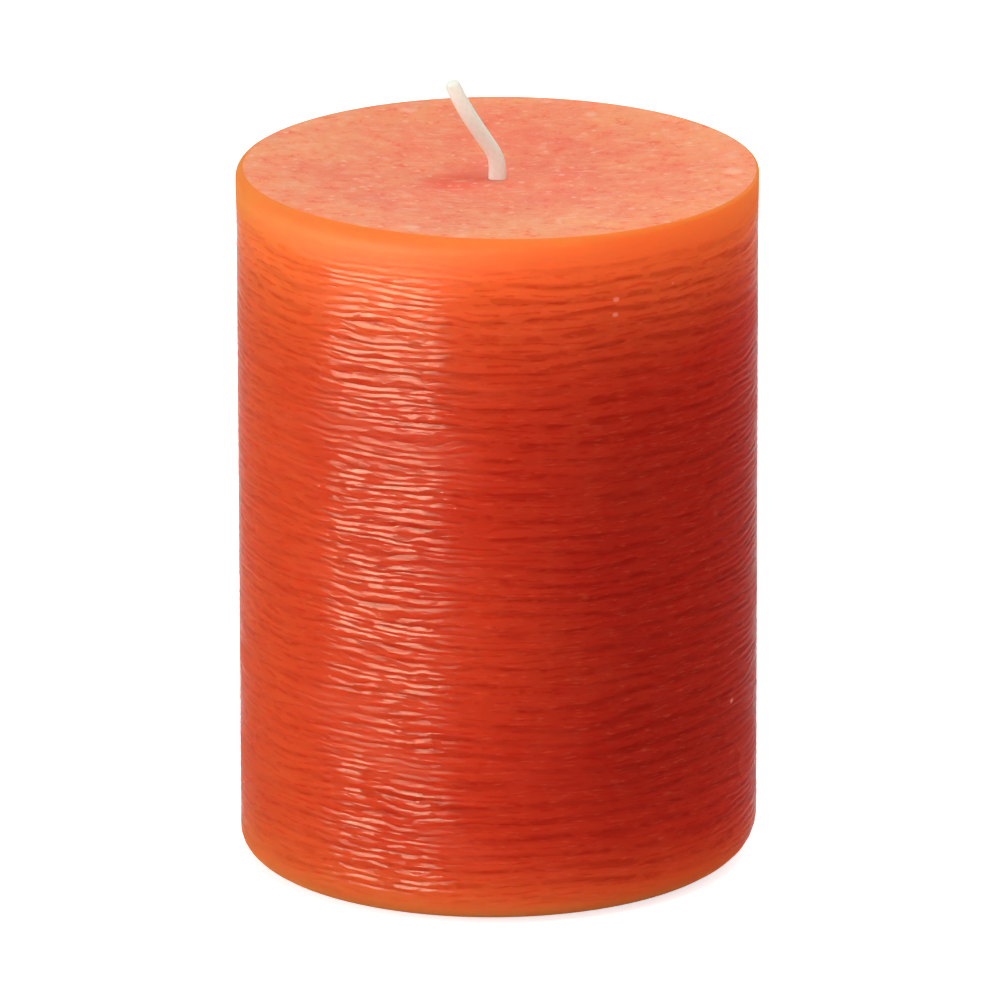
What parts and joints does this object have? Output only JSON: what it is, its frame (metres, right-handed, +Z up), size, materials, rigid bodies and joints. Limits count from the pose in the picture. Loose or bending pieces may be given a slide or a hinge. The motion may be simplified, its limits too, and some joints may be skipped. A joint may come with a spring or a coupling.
{
  "type": "pillar candle",
  "caption": "Round pillar candle of dyed wax with a brushed side, a flat top and base, a leaning braided wick and a metal wick sustainer in the base.",
  "frame": {"origin": "centre of the base, on the surface that the candle stands on", "axes": "+Z up along the candle's axis; -Y is the front; the wick's free end leans towards -X"},
  "size_m": [0.07, 0.07, 0.1076],
  "materials": {
    "wax": "solid dyed candle wax, translucent, side brushed in fine horizontal ridges, top and base trimmed",
    "wick_cotton": "braided cotton, stiff with wax",
    "tinned_sheet": "tin-plated thin sheet steel, pressed"
  },
  "bodies": {
    "root": {"wax_body": "wax", "wick": "wick_cotton", "wick_sustainer": "tinned_sheet"}
  },
  "joints": []
}
